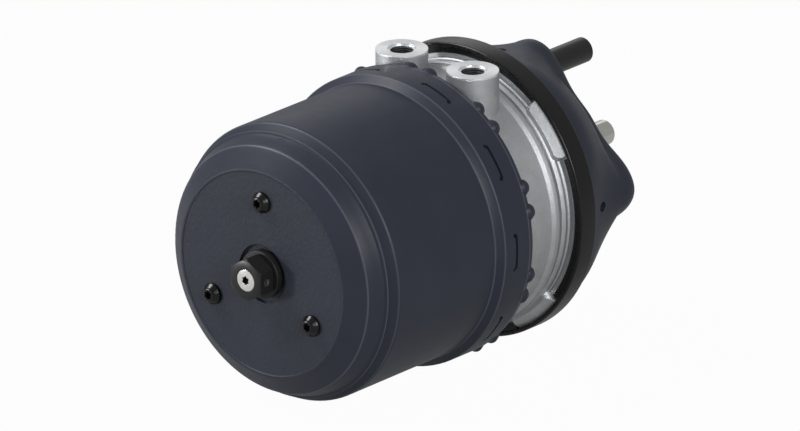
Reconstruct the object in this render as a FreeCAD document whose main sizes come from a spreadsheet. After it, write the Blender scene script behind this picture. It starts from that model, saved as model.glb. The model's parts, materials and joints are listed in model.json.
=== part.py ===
import FreeCAD, Part
import Sketcher
import math
import os

# Air brake chamber of a disc brake: a spring chamber (the closed drum) and a
# service chamber (the front shell) on one cast aluminium body.
# Frame: Y is the axis of the unit. Y = 0 is the mounting face that meets the
# caliper, +Y points to the caliper, Z is up, and both air ports point up.
# A depth is a distance behind the mounting face, towards the closed end (-Y).
# At rest the air is out: the piston is forward and the push rod is part way out.

SIZES = {
    # mounting studs
    "stud_spacing": 120.65,
    "stud_dia": 16.0,
    "stud_reach": 40.0,
    "stud_head_dia": 19.0,
    "stud_head_height": 7.0,
    "stud_tip_chamfer": 1.5,
    "stud_shoulder": 0.5,
    # front shell, a steel pressing with four lobes, and the middle of its walls
    "shell_wall": 3.5,
    "lobe_radius": 80.4,
    "valley_radius": 60.4,
    "shell_nose_round": 11.0,
    "lobe_sharpness": 2.2,
    "mouth_step": 0.6,
    "lobe_mid_radius": 81.6,
    "valley_mid_radius": 83.0,
    "collar_dia": 54.0,
    "collar_height": 9.0,
    "rod_hole_dia": 40.0,
    "drain_dia": 6.4,
    "drain_depth": 38.8,
    # clamp ring round the two flanges and the diaphragm's bead
    "ring_dia": 187.2,
    "ring_depth": 58.0,
    "ring_wall": 2.5,
    "ring_lip": 4.6,
    "ring_lip_wall": 1.8,
    "ring_rim": 1.9,
    "ring_back_lip": 1.9,
    "shell_flange": 2.5,
    "bead_height": 2.5,
    "clamp_flange": 3.0,
    "flange_play": 1.1,
    "flange_step": 1.4,
    # cast body
    "cast_rim_play": 2.9,
    "cast_rim_length": 5.5,
    "cast_rim_step": 0.9,
    "cast_wall_dia": 160.0,
    "cast_groove": 2.2,
    "cast_bead_height": 1.4,
    "cast_bead_edge": 1.2,
    "cast_bead_width": 2.8,
    "cavity_dia": 150.0,
    "web_front_depth": 88.0,
    "web_thickness": 20.0,
    "hub_dia": 56.0,
    "hub_overhang": 5.0,
    "skirt_length": 24.0,
    "skirt_wall": 6.5,
    "lug_angle": 50.0,
    "lug_span": 25.4,
    "lug_play": 0.1,
    "lug_length": 6.5,
    "lug_round": 4.5,
    "lug_flat": 1.2,
    "lug_rise": 1.2,
    "notch_play": 1.6,
    # air ports
    "port_offset": 28.5,
    "port_depth": 98.2,
    "port_top": 92.6,
    "port_boss_dia": 32.2,
    "port_thread_dia": 14.5,
    "port_mouth_dia": 17.4,
    "port_mouth_depth": 0.9,
    "port_bore_length": 18.0,
    "air_way_dia": 7.0,
    "air_way_drop": 12.0,
    "cross_way_dia": 6.0,
    "boss_foot": 50.0,
    # drum
    "drum_dia": 175.0,
    "band_dia": 184.6,
    "drum_wall": 3.8,
    "rim_depth": 114.5,
    "band_length": 26.5,
    "band_slope": 4.0,
    "shoulder_depth": 232.0,
    "end_groove": 6.0,
    "end_groove_width": 4.4,
    "end_ridge": 2.3,
    "end_ridge_width": 0.9,
    "end_depth": 258.0,
    "end_face_dia": 131.0,
    "end_lip": 0.4,
    "end_lip_width": 1.2,
    "end_knee_dia": 156.0,
    "end_knee": 8.0,
    "end_hole_dia": 22.0,
    "end_recess_dia": 37.0,
    "end_recess": 2.5,
    "rim_roll": 1.0,
    "rim_roll_length": 4.5,
    "scallop_dia": 12.0,
    "scallop_pitch": 4.9,
    "scallop_length": 12.0,
    "scallop_rise": 2.0,
    "scallop_overhang": 3.2,
    "rim_round": 1.2,
    "slot_depth": 130.5,
    "slot_angle": 18.0,
    "slot_width": 2.1,
    "slot_span": 13.5,
    "slot_hole_dia": 2.7,
    "slot_hole_shift": 1.3,
    "lock_width": 3.6,
    "lock_height": 4.4,
    "lock_seat": 1.6,
    "lock_gap": 6.0,
    "seal_depth": 122.0,
    "seal_wire_dia": 4.0,
    # end plate, its screws and its bush
    "screw_circle_dia": 92.0,
    "screw_head_dia": 13.4,
    "screw_head_height": 4.6,
    "screw_dia": 8.0,
    "screw_length": 16.0,
    "screw_socket_dia": 6.0,
    "plate_dia": 105.0,
    "plate_thickness": 5.0,
    "bush_dia": 34.0,
    "bush_length": 20.0,
    "bush_shoulder": 4.0,
    "collar_ring_dia": 30.0,
    "collar_ring_height": 5.2,
    # release bolt
    "bolt_dia": 16.0,
    "bolt_nose_dia": 14.0,
    "bolt_head_dia": 25.0,
    "bolt_head_height": 8.0,
    "bolt_play": 1.5,
    "socket_depth": 4.0,
    "hex_flats": 24.0,
    "hex_height": 12.0,
    "hex_chamfer": 1.4,
    "pin_dia": 4.8,
    "pin_bore_dia": 2.2,
    "washer_thickness": 2.0,
    # piston, tube and seals
    "piston_web_depth": 118.0,
    "piston_web": 8.0,
    "piston_hub_height": 14.0,
    "piston_hub_dia": 48.0,
    "piston_wall": 6.0,
    "piston_dish_dia": 152.0,
    "piston_rim_depth": 142.5,
    "piston_rim_width": 19.0,
    "piston_gap": 1.4,
    "seal_width": 6.0,
    "seal_land": 2.0,
    "seal_seat": 4.5,
    "guide_seat": 2.0,
    "guide_width": 5.0,
    "tube_dia": 34.0,
    "tube_wall": 3.0,
    "tube_seat": 8.0,
    "cap_dia": 40.0,
    "cap_height": 3.0,
    "cap_spigot": 7.0,
    "valve_dia": 12.0,
    "valve_lip": 1.5,
    "guide_bush_wall": 2.5,
    "rod_seal_wire": 3.4,
    "rod_seal_edge": 1.0,
    "seal_play": 0.2,
    # power spring
    "power_wire": 13.0,
    "power_dia": 120.0,
    "power_turns": 4.5,
    "spring_seat_height": 4.0,
    # diaphragm, plate, rod and return spring
    "diaphragm_thickness": 3.0,
    "plate_depth": 29.5,
    "push_plate_dia": 92.0,
    "push_plate_thickness": 6.0,
    "rod_dia": 16.0,
    "rod_reach": 60.7,
    "rod_tip_round": 1.6,
    "rod_boss_dia": 26.0,
    "rod_boss_height": 9.0,
    "rod_seat": 3.0,
    "return_wire": 4.0,
    "return_dia": 64.0,
    "return_turns": 3.25,
    # boot
    "boot_wall": 1.6,
    "boot_length": 16.0,
    "boot_inset": 2.0,
    "retainer_wall": 1.2,
    # play between pieces
    "fit": 0.05,
    "rest_gap": 0.3,
}

doc = FreeCAD.newDocument("air_brake_chamber")
sheet = doc.addObject("Spreadsheet::Sheet", "Sizes")
for row, (name, value) in enumerate(SIZES.items(), start=1):
    sheet.set(f"A{row}", name)
    sheet.set(f"B{row}", str(value))
    sheet.setAlias(f"B{row}", name)
doc.recompute()


class Length:
    """A length with its value now and the expression that keeps it right."""

    def __init__(self, value, text):
        self.value = float(value)
        self.text = text

    @staticmethod
    def of(other):
        return other if isinstance(other, Length) else Length(other, repr(float(other)))

    def __add__(self, other):
        other = Length.of(other)
        return Length(self.value + other.value, f"({self.text} + {other.text})")

    def __sub__(self, other):
        other = Length.of(other)
        return Length(self.value - other.value, f"({self.text} - {other.text})")

    def __mul__(self, other):
        other = Length.of(other)
        return Length(self.value * other.value, f"({self.text} * {other.text})")

    def __truediv__(self, other):
        other = Length.of(other)
        return Length(self.value / other.value, f"({self.text} / {other.text})")

    def __neg__(self):
        return Length(-self.value, f"(0 - {self.text})")

    __radd__ = __add__
    __rmul__ = __mul__


class Sheet:
    """Reads an alias of the sheet as a Length."""

    def __getattr__(self, name):
        return Length(sheet.get(name), f"Sizes.{name}")


s = Sheet()
ZERO = Length(0, "0.0")
# How far a cut runs past the face that it opens
PAST = 1.0
# How much further out than a square tab a cut reaches to clear the tab's corners
CLEAR = 1.1
# Reach of a star socket's points and waists and its rounding, as shares of its size
STAR_TIP, STAR_ROOT, STAR_ROUND = 0.53, 0.36, 0.07
# How far in front of the outer knee the drum's inner knee lies, in walls
INSIDE_KNEE = 0.6
# The parts of a button head's height and radius where its dome starts and ends
DOME_START, DOME_TOP, SOCKET_SHARE = 0.3, 0.62, 0.6


def bind(thing, prop, length):
    """Ties a property of an object to the sheet."""
    thing.setExpression(prop, Length.of(length).text)


def origin_part(body, role):
    """One plane or axis of a body's own origin."""
    return [f for f in body.Origin.OriginFeatures if f.Role == role][0]


def new_body(label):
    """An empty body that may hold one solid or a group of like solids."""
    body = doc.addObject("PartDesign::Body", label)
    body.Label = label
    body.AllowCompound = True
    return body


def new_sketch(body, name, role, offset=None, turn=None):
    """A sketch on a plane of the body's origin, moved along the plane's normal
    and turned about the unit's axis."""
    sketch = body.newObject("Sketcher::SketchObject", f"{body.Name}_{name}")
    sketch.AttachmentSupport = [(origin_part(body, role), "")]
    sketch.MapMode = "FlatFace"
    if turn is not None:
        # the unit's axis, as each plane sees it
        about = {
            "YZ_Plane": FreeCAD.Vector(1, 0, 0),
            "XZ_Plane": FreeCAD.Vector(0, 0, -1),
            "XY_Plane": FreeCAD.Vector(0, 1, 0),
        }[role]
        sketch.AttachmentOffset = FreeCAD.Placement(
            FreeCAD.Vector(0, 0, 0), FreeCAD.Rotation(about, Length.of(turn).value)
        )
        bind(sketch, "AttachmentOffset.Rotation.Angle", turn)
    if offset is not None:
        bind(sketch, "AttachmentOffset.Base.z", offset)
    return sketch


def pin_point(sketch, geometry, end, across, up):
    """Fixes one point of a sketch at (across, up) from the sketch's origin."""
    for kind, length in (("DistanceX", across), ("DistanceY", up)):
        length = Length.of(length)
        if length.text == "0.0":
            axis = -2 if kind == "DistanceX" else -1
            sketch.addConstraint(Sketcher.Constraint("PointOnObject", geometry, end, axis))
        else:
            index = sketch.addConstraint(
                Sketcher.Constraint(kind, -1, 1, geometry, end, length.value)
            )
            bind(sketch, f"Constraints[{index}]", length)


def rounded_corner(before, corner, after, radius):
    """Where an arc of a radius meets the two sides of a corner, and its centre."""
    u, v = (before - corner).normalize(), (after - corner).normalize()
    half = math.acos(max(-1.0, min(1.0, u.dot(v)))) / 2
    start = corner + u * (radius / math.tan(half))
    end = corner + v * (radius / math.tan(half))
    middle = corner + (u + v).normalize() * (radius / math.sin(half))
    return start, end, middle


def outline(sketch, corners):
    """Draws a closed outline of straight sides. A corner is (across, up) or
    (across, up, rounding), and each is tied to the sheet."""
    points = [FreeCAD.Vector(Length.of(c[0]).value, Length.of(c[1]).value, 0) for c in corners]
    count = len(corners)
    rounds = {}
    for i, corner in enumerate(corners):
        if len(corner) == 3:
            rounds[i] = rounded_corner(
                points[i - 1], points[i], points[(i + 1) % count], Length.of(corner[2]).value
            )
    sides = []
    for i in range(count):
        j = (i + 1) % count
        start = rounds[i][1] if i in rounds else points[i]
        end = rounds[j][0] if j in rounds else points[j]
        sides.append(sketch.addGeometry(Part.LineSegment(start, end)))
    for i in range(count):
        into, out_of = sides[i - 1], sides[i]
        across, up = corners[i][0], corners[i][1]
        if i not in rounds:
            sketch.addConstraint(Sketcher.Constraint("Coincident", into, 2, out_of, 1))
            pin_point(sketch, out_of, 1, across, up)
            continue
        start, end, middle = rounds[i]
        left_turn = (points[i] - points[i - 1]).cross(points[(i + 1) % count] - points[i]).z > 0
        first, last = (start, end) if left_turn else (end, start)
        circle = Part.Circle(middle, FreeCAD.Vector(0, 0, 1), (start - middle).Length)
        angles = [math.atan2(p.y - middle.y, p.x - middle.x) for p in (first, last)]
        arc = sketch.addGeometry(Part.ArcOfCircle(circle, angles[0], angles[1]))
        near, far = (1, 2) if left_turn else (2, 1)
        sketch.addConstraint(Sketcher.Constraint("Tangent", into, 2, arc, near))
        sketch.addConstraint(Sketcher.Constraint("Tangent", arc, far, out_of, 1))
        radius = Length.of(corners[i][2])
        index = sketch.addConstraint(Sketcher.Constraint("Radius", arc, radius.value))
        bind(sketch, f"Constraints[{index}]", radius)
        corner = sketch.addGeometry(Part.Point(points[i]), True)
        sketch.addConstraint(Sketcher.Constraint("PointOnObject", corner, 1, into))
        sketch.addConstraint(Sketcher.Constraint("PointOnObject", corner, 1, out_of))
        pin_point(sketch, corner, 1, across, up)


def circle_at(sketch, across, up, radius):
    """A circle of a sketch, its centre and its radius tied to the sheet."""
    centre = FreeCAD.Vector(Length.of(across).value, Length.of(up).value, 0)
    radius = Length.of(radius)
    circle = sketch.addGeometry(
        Part.Circle(centre, FreeCAD.Vector(0, 0, 1), radius.value)
    )
    index = sketch.addConstraint(Sketcher.Constraint("Radius", circle, radius.value))
    bind(sketch, f"Constraints[{index}]", radius)
    pin_point(sketch, circle, 3, across, up)


def turned(body, name, corners, cut=False, span=None, turn=None, out=None):
    """Turns an outline of (depth, radius) corners about the unit's axis, or
    about a line a distance out from it. With a span it is a sector of that
    many degrees. The angle turn is counted from straight up towards +X."""
    sketch = new_sketch(body, f"{name}_outline", "YZ_Plane", turn=turn)
    axis = "H_Axis"
    if out is not None:
        ends = [FreeCAD.Vector(x, out.value, 0) for x in (-10, 10)]
        line = sketch.addGeometry(Part.LineSegment(*ends), True)
        sketch.addConstraint(Sketcher.Constraint("Horizontal", line))
        pin_point(sketch, line, 1, Length.of(-10), out)
        axis = "Axis0"
        corners = [(c[0], out + c[1]) + tuple(c[2:]) for c in corners]
    outline(sketch, [(-Length.of(c[0]),) + tuple(c[1:]) for c in corners])
    kind = "PartDesign::Groove" if cut else "PartDesign::Revolution"
    feature = body.newObject(kind, f"{body.Name}_{name}")
    feature.Profile = sketch
    feature.ReferenceAxis = (sketch, [axis])
    feature.Midplane = span is not None
    feature.Angle = 360
    if span is not None:
        bind(feature, "Angle", span)
    return feature


def along_axis(body, name, depth, length, shape, turn=None, cut=False, forward=False):
    """A pad or a cut along the unit's axis. It starts at a depth and runs
    towards the closed end, or forwards, and shape draws its sketch."""
    sketch = new_sketch(body, f"{name}_shape", "XZ_Plane", offset=depth, turn=turn)
    shape(sketch)
    kind = "PartDesign::Pocket" if cut else "PartDesign::Pad"
    feature = body.newObject(kind, f"{body.Name}_{name}")
    feature.Profile = sketch
    feature.Reversed = cut != forward
    bind(feature, "Length", length)
    return feature


def from_top(body, name, height, length, shape, cut=False, turn=None):
    """A pad or a cut that runs in from a height above the unit's axis. With a
    turn, it starts as far out at that angle from straight up, towards +X."""
    sketch = new_sketch(body, f"{name}_shape", "XY_Plane", offset=height, turn=turn)
    if turn is not None:
        way = f"({Length.of(turn).text}) * 1 deg"
        for axis, share in (("x", "sin"), ("z", "cos")):
            sketch.setExpression(
                f"AttachmentOffset.Base.{axis}", f"{height.text} * {share}({way})"
            )
    shape(sketch)
    kind = "PartDesign::Pocket" if cut else "PartDesign::Pad"
    feature = body.newObject(kind, f"{body.Name}_{name}")
    feature.Profile = sketch
    feature.Reversed = not cut
    bind(feature, "Length", length)
    return feature


def disc(across, up, radius):
    """Draws one circle in the sketch that it is given."""
    return lambda sketch: circle_at(sketch, across, up, radius)


def star(up, width):
    """Draws a six-lobed driver socket, rounded in and out."""
    tip, root, rounding = width * STAR_TIP, width * STAR_ROOT, width * STAR_ROUND

    def draw(sketch):
        corners = []
        for k in range(12):
            reach = tip if k % 2 == 0 else root
            angle = math.radians(30 * k)
            across, height = reach * math.sin(angle), reach * math.cos(angle)
            corners.append((across, up + height, rounding))
        outline(sketch, corners)

    return draw


def repeated(body, name, originals, count):
    """Repeats features round the unit's axis."""
    pattern = body.newObject("PartDesign::PolarPattern", f"{body.Name}_{name}")
    pattern.Originals = originals
    pattern.Axis = (origin_part(body, "Y_Axis"), [""])
    pattern.Angle = 360
    pattern.Occurrences = count
    body.Tip = pattern
    return pattern


def ring_section(start, end, inner, outer, edge=None):
    """Four corners of a ring's section, the outer two rounded if edge is given."""
    last = () if edge is None else (edge,)
    return [(start, inner), (start, outer) + last, (end, outer) + last, (end, inner)]


# Depths and radii that several pieces share
shell_flange_depth = s.ring_depth + s.ring_wall
bead_depth = shell_flange_depth + s.shell_flange
cast_start = bead_depth + s.bead_height
cast_flange_end = cast_start + s.clamp_flange
ring_lip_end = cast_flange_end + s.ring_lip_wall
ring_front = ring_lip_end + s.ring_rim
ring_outer = s.ring_dia / 2
channel = ring_outer - s.ring_wall
ring_mouth = channel - s.ring_lip
ring_back_mouth = channel - s.ring_back_lip
flange_radius = channel - s.flange_play
shell_rear_radius = flange_radius - s.flange_step
cast_rim_radius = ring_mouth - s.cast_rim_play
lug_radius = channel - s.lug_play
web_rear_depth = s.web_front_depth + s.web_thickness
drum_outer = s.drum_dia / 2
drum_inner = drum_outer - s.drum_wall
band_outer = s.band_dia / 2
band_inner = band_outer - s.drum_wall
band_end = s.rim_depth + s.band_length
skirt_radius = band_inner - s.fit
skirt_end = s.rim_depth + s.skirt_length
lock_outer = skirt_radius + s.lock_seat
lock_inner = lock_outer - s.lock_height
end_inner_depth = s.end_depth - s.drum_wall
plate_front_depth = end_inner_depth - s.plate_thickness
seat_depth = end_inner_depth - s.spring_seat_height - s.plate_thickness
tube_outer = s.tube_dia / 2
tube_inner = tube_outer - s.tube_wall
bolt_radius = s.bolt_dia / 2
screw_out = s.screw_circle_dia / 2
stud_out = s.stud_spacing / 2
stud_radius = s.stud_dia / 2
disc_depth = s.plate_depth + s.push_plate_thickness
cap_depth = disc_depth + s.diaphragm_thickness
tube_front = cap_depth + s.cap_height
hub_rear_depth = web_rear_depth + s.hub_overhang
piston_web_rear = s.piston_web_depth + s.piston_web
piston_hub_rear = s.piston_web_depth + s.piston_hub_height
tube_rear = s.piston_web_depth + s.tube_seat
piston_rim_radius = drum_inner - s.piston_gap
piston_rim_end = s.piston_rim_depth + s.piston_rim_width
seal_start = s.piston_rim_depth + s.seal_land
guide_start = seal_start + s.seal_width + s.seal_land
washer_depth = tube_rear - s.rest_gap - s.washer_thickness
bolt_head_depth = washer_depth - s.rest_gap - s.bolt_head_height
collar_start = s.end_depth - s.end_recess
hex_depth = collar_start + s.collar_ring_height + s.rest_gap
bolt_end_depth = hex_depth + s.hex_height
running = s.fit
shoulder_radius = stud_radius + s.stud_shoulder
groove_end = s.shoulder_depth + s.end_groove_width
groove_radius = drum_outer - s.end_groove


def lobed_wire(depth, lobe, valley, points=32):
    """A closed smooth outline across the axis: a radius that swings between
    the four lobes, which point up, down and to both sides, and the valleys."""
    around = []
    for k in range(points):
        angle = 2 * math.pi * k / points
        share = ((1 + math.cos(4 * angle)) / 2) ** sheet.get("lobe_sharpness")
        radius = valley + (lobe - valley) * share
        around.append(
            FreeCAD.Vector(radius * math.sin(angle), -depth, radius * math.cos(angle))
        )
    curve = Part.BSplineCurve()
    steps = [k / points for k in range(points + 1)]
    curve.interpolate(Points=around, PeriodicFlag=True, Parameters=steps)
    return Part.Wire([curve.toShape()])


def swept(front, middle, rear, share):
    """A radius that runs smoothly through three values."""
    return (
        front * (1 - share) * (1 - 2 * share)
        + middle * 4 * share * (1 - share)
        + rear * share * (2 * share - 1)
    )


def lobed_loft(inset, end):
    """The front shell's outer form, or its inner form when it is inset by the
    wall: a rounded nose, then walls that spread to the round flange."""
    nose = sheet.get("shell_nose_round") - inset
    lobe, valley = sheet.get("lobe_radius") - inset, sheet.get("valley_radius") - inset
    lobe_mid = sheet.get("lobe_mid_radius") - inset
    valley_mid = sheet.get("valley_mid_radius") - inset
    rear = shell_rear_radius.value - inset
    wires = []
    for degrees in (0, 30, 60, 90):
        angle = math.radians(degrees)
        back = nose * (1 - math.cos(angle))
        pulled = nose * (1 - math.sin(angle))
        wires.append(lobed_wire(inset + back, lobe - pulled, valley - pulled))
    first = inset + nose
    for share in (0.15, 0.35, 0.6, 0.8, 1.0):
        wires.append(
            lobed_wire(
                first + (end - first) * share,
                swept(lobe, lobe_mid, rear, share),
                swept(valley, valley_mid, rear, share),
            )
        )
    return Part.makeLoft(wires, True, False)


def rod_of(radius, start, end, up=0.0, across=0.0):
    """A cylinder along the axis between two depths, as a bare shape."""
    return Part.makeCylinder(
        radius, end - start, FreeCAD.Vector(across, -end, up), FreeCAD.Vector(0, 1, 0)
    )


def service_housing():
    """The front shell: a four-lobed steel pressing that carries the studs,
    with a turned-in collar for the boot, four drain holes and a round flange."""
    feature = doc.addObject("Part::Feature", "service_housing")
    feature.Label = "service_housing"
    wall = sheet.get("shell_wall")
    flange_start, flange_end = shell_flange_depth.value, bead_depth.value
    outer = lobed_loft(0.0, flange_start)
    flange = rod_of(flange_radius.value, flange_start, flange_end)
    inner = lobed_loft(wall, flange_start)
    mouth_radius = shell_rear_radius.value - wall + sheet.get("mouth_step")
    mouth = rod_of(mouth_radius, flange_start, flange_end + PAST)
    collar = rod_of(sheet.get("collar_dia") / 2, 0.0, wall + sheet.get("collar_height"))
    bore = rod_of(sheet.get("rod_hole_dia") / 2, -PAST, wall + sheet.get("collar_height") + PAST)
    shape = outer.fuse(flange).cut(inner).cut(mouth).fuse(collar).cut(bore)
    for side in (-1, 1):
        hole_radius = shoulder_radius.value + sheet.get("fit")
        shape = shape.cut(rod_of(hole_radius, -PAST, wall + PAST, up=side * stud_out.value))
    drain = sheet.get("drain_dia") / 2
    reach = sheet.get("ring_dia") / 2
    for k in range(4):
        angle = math.radians(90 * k)
        way = FreeCAD.Vector(math.sin(angle), 0, math.cos(angle))
        start = way * (sheet.get("collar_dia") / 2)
        start.y = -sheet.get("drain_depth")
        shape = shape.cut(Part.makeCylinder(drain, reach, start, way))
    feature.Shape = shape.removeSplitter()
    return feature


def spring_housing():
    """The pressed drum, with its rolled band, its slots and its scalloped rim."""
    body = new_body("spring_housing")
    wall, edge = s.drum_wall, s.rim_round
    knee, face = s.end_knee_dia / 2, s.end_face_dia / 2
    lip_depth, lip = s.end_depth + s.end_lip, face - s.end_lip_width
    ridge_depth = groove_end + s.end_ridge_width * 2
    ridge_end = ridge_depth + s.end_ridge_width
    ridge_radius = groove_radius + s.end_ridge
    skin = [
        (s.rim_depth, ZERO),
        (s.rim_depth, band_outer - s.rim_roll, edge),
        (s.rim_depth + s.rim_roll_length, band_outer, edge),
        (band_end, band_outer, edge),
        (band_end + s.band_slope, drum_outer, edge),
        (s.shoulder_depth, drum_outer, edge * 2),
        (groove_end, groove_radius, edge / 2),
        (ridge_depth, ridge_radius, edge / 3),
        (ridge_end, ridge_radius, edge / 3),
        (ridge_end + s.end_ridge_width, groove_radius + s.end_ridge / 4, edge / 4),
        (s.end_depth - s.end_knee, knee, wall),
        (lip_depth, face, edge),
        (lip_depth, lip),
        (s.end_depth, lip - s.end_lip),
        (s.end_depth, ZERO),
    ]
    turned(body, "skin", skin)
    # each scallop swells over the rim and fades into the band behind it
    bump = s.scallop_dia / 2
    front = s.rim_depth - s.scallop_overhang
    scallop = [
        (front, ZERO),
        (front, bump * 0.7, bump / 5),
        (front + bump * 0.7, bump, bump / 2),
        (front + s.scallop_length, bump / 4),
        (front + s.scallop_length, ZERO),
    ]
    bumps = []
    for number, side in enumerate((-1, 1)):
        bumps.append(
            turned(
                body, f"scallop{number}", scallop,
                turn=s.scallop_pitch * side, out=band_outer + s.scallop_rise - bump,
            )
        )
    repeated(body, "scallops", bumps, 10)
    hollow = [
        (front - PAST, ZERO),
        (front - PAST, band_inner),
        (band_end - PAST, band_inner),
        (band_end + s.band_slope - PAST, drum_inner),
        (s.shoulder_depth - PAST, drum_inner, edge),
        (groove_end - wall / 2, groove_radius - wall, edge),
        (s.end_depth - s.end_knee - wall * INSIDE_KNEE, knee - wall, wall / 2),
        (end_inner_depth, face - wall / 2, wall / 2),
        (end_inner_depth, ZERO),
    ]
    turned(body, "hollow", hollow, cut=True)
    half = s.lock_width / 2 + s.fit
    groove = ring_section(
        s.slot_depth - half, s.slot_depth + half, band_inner - PAST, lock_outer + s.fit
    )
    turned(body, "lock_groove", groove, cut=True)
    half = s.slot_width / 2
    slot = ring_section(
        s.slot_depth - half, s.slot_depth + half, band_inner, band_outer + PAST
    )
    openings = [turned(body, "slot", slot, cut=True, span=s.slot_span, turn=s.slot_angle)]
    hole_depth = s.slot_depth + s.slot_hole_shift
    for number, side in enumerate((-1, 1)):
        openings.append(
            from_top(
                body, f"slot_end{number}", band_outer + PAST, wall + PAST * 2,
                disc(ZERO, -hole_depth, s.slot_hole_dia / 2), cut=True,
                turn=s.slot_angle + s.slot_span / 2 * side,
            )
        )
    repeated(body, "slots", openings, 10)
    along_axis(
        body, "recess", s.end_depth + PAST, s.end_recess + PAST,
        disc(ZERO, ZERO, s.end_recess_dia / 2), cut=True, forward=True,
    )
    along_axis(
        body, "bolt_hole", s.end_depth, wall + PAST,
        disc(ZERO, ZERO, s.end_hole_dia / 2), cut=True, forward=True,
    )
    hole = along_axis(
        body, "screw_hole", s.end_depth + PAST, wall + PAST * 2,
        disc(ZERO, screw_out, s.screw_dia / 2 + s.fit), cut=True, forward=True,
    )
    repeated(body, "screw_holes", [hole], 3)


def end_screws():
    """Three button head screws that hold the plate inside the closed end."""
    body = new_body("end_screws")
    head, shank = s.screw_head_dia / 2, s.screw_dia / 2
    top = s.end_depth + s.screw_head_height
    corners = [
        (s.end_depth - s.screw_length, ZERO),
        (s.end_depth - s.screw_length, shank),
        (s.end_depth, shank),
        (s.end_depth, head),
        (s.end_depth + s.screw_head_height * DOME_START, head, s.screw_head_height * DOME_START),
        (top, head * DOME_TOP, s.screw_head_height / 2),
        (top, ZERO),
    ]
    screw = turned(body, "screw", corners, out=screw_out)
    socket = along_axis(
        body, "socket", top, s.screw_head_height * SOCKET_SHARE,
        star(screw_out, s.screw_socket_dia), cut=True, forward=True,
    )
    repeated(body, "set", [screw, socket], 3)


def end_plate():
    """The steel plate inside the closed end, tapped for the three screws."""
    body = new_body("end_plate")
    bush = s.bush_dia / 2 + s.fit
    turned(body, "disc", ring_section(plate_front_depth, end_inner_depth, bush, s.plate_dia / 2))
    hole = along_axis(
        body, "tapped_hole", plate_front_depth - PAST, s.plate_thickness + PAST * 2,
        disc(ZERO, screw_out, s.screw_dia / 2 + s.fit), cut=True,
    )
    repeated(body, "tapped_holes", [hole], 3)


def threaded_bush():
    """The bush that the release bolt is screwed through. Its shoulder bears on
    the end plate, so that the plate takes the spring's force."""
    body = new_body("threaded_bush")
    thread, outside = bolt_radius + running, s.bush_dia / 2
    corners = [
        (end_inner_depth - s.bush_length, thread),
        (end_inner_depth - s.bush_length, outside, s.rim_round),
        (plate_front_depth - s.bush_shoulder, outside),
        (plate_front_depth - s.bush_shoulder, outside + s.bush_shoulder),
        (plate_front_depth, outside + s.bush_shoulder),
        (plate_front_depth, outside),
        (end_inner_depth, outside),
        (end_inner_depth, thread),
    ]
    turned(body, "turning", corners)


def bolt_collar():
    """The black collar in the recess of the closed end, under the hexagon."""
    body = new_body("bolt_collar")
    turned(
        body,
        "ring",
        ring_section(
            collar_start, collar_start + s.collar_ring_height,
            bolt_radius + s.rest_gap, s.collar_ring_dia / 2, s.rim_round / 2,
        ),
    )


def release_bolt():
    """The release bolt: a head that catches the piston, a threaded shank and
    a nose with a star socket that carries the hexagon."""
    body = new_body("release_bolt")
    head, nose = s.bolt_head_dia / 2, s.bolt_nose_dia / 2
    corners = [
        (bolt_head_depth, ZERO),
        (bolt_head_depth, head, s.rim_round),
        (bolt_head_depth + s.bolt_head_height, head),
        (bolt_head_depth + s.bolt_head_height, bolt_radius),
        (hex_depth, bolt_radius),
        (hex_depth, nose),
        (bolt_end_depth, nose, s.rim_round / 2),
        (bolt_end_depth, ZERO),
    ]
    turned(body, "turning", corners)
    along_axis(
        body, "socket", bolt_end_depth, s.socket_depth,
        star(ZERO, s.screw_socket_dia), cut=True, forward=True,
    )
    cross_hole(body, s.pin_dia / 2 + s.fit)


def cross_hole(body, radius):
    """The hole across the hexagon and the bolt's nose for the spring pin."""
    sketch = new_sketch(body, "cross_hole_circle", "YZ_Plane")
    circle_at(sketch, -(hex_depth + s.hex_height / 2), ZERO, radius)
    feature = body.newObject("PartDesign::Pocket", f"{body.Name}_cross_hole")
    feature.Profile = sketch
    feature.Midplane = True
    bind(feature, "Length", s.hex_flats * 2)
    return feature


def release_hex():
    """The hexagon on the bolt's nose, with a turned chamfer on its face."""
    body = new_body("release_hex")
    corner_reach = s.hex_flats / 2 / math.cos(math.radians(30))
    sketch = new_sketch(body, "hexagon", "XZ_Plane", offset=hex_depth)
    corners = []
    for k in range(6):
        angle = math.radians(60 * k)
        corners.append((corner_reach * math.sin(angle), corner_reach * math.cos(angle)))
    corners = [(ZERO if k in (0, 3) else c[0], c[1]) for k, c in enumerate(corners)]
    outline(sketch, corners)
    pad = body.newObject("PartDesign::Pad", "release_hex_block")
    pad.Profile = sketch
    bind(pad, "Length", s.hex_height)
    for name, face, way in (("outer", bolt_end_depth, -1), ("inner", hex_depth, 1)):
        reach = corner_reach + PAST
        flat = s.hex_flats / 2 - s.hex_chamfer / 3
        chamfer = [
            (face, flat),
            (face + s.hex_chamfer * way, reach),
            (face - PAST * way, reach),
            (face - PAST * way, flat),
        ]
        turned(body, f"{name}_chamfer", chamfer, cut=True)
    along_axis(
        body, "nose_hole", hex_depth - PAST, s.hex_height + PAST * 2,
        disc(ZERO, ZERO, s.bolt_nose_dia / 2 + s.fit), cut=True,
    )
    cross_hole(body, s.pin_dia / 2 + s.fit)


def release_hex_pin():
    """The hollow spring pin that locks the hexagon to the bolt."""
    body = new_body("release_hex_pin")
    sketch = new_sketch(body, "section", "YZ_Plane")
    middle = -(hex_depth + s.hex_height / 2)
    circle_at(sketch, middle, ZERO, s.pin_dia / 2)
    circle_at(sketch, middle, ZERO, s.pin_bore_dia / 2)
    pad = body.newObject("PartDesign::Pad", "release_hex_pin_pad")
    pad.Profile = sketch
    pad.Midplane = True
    bind(pad, "Length", s.hex_flats - s.rest_gap * 2)


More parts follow.
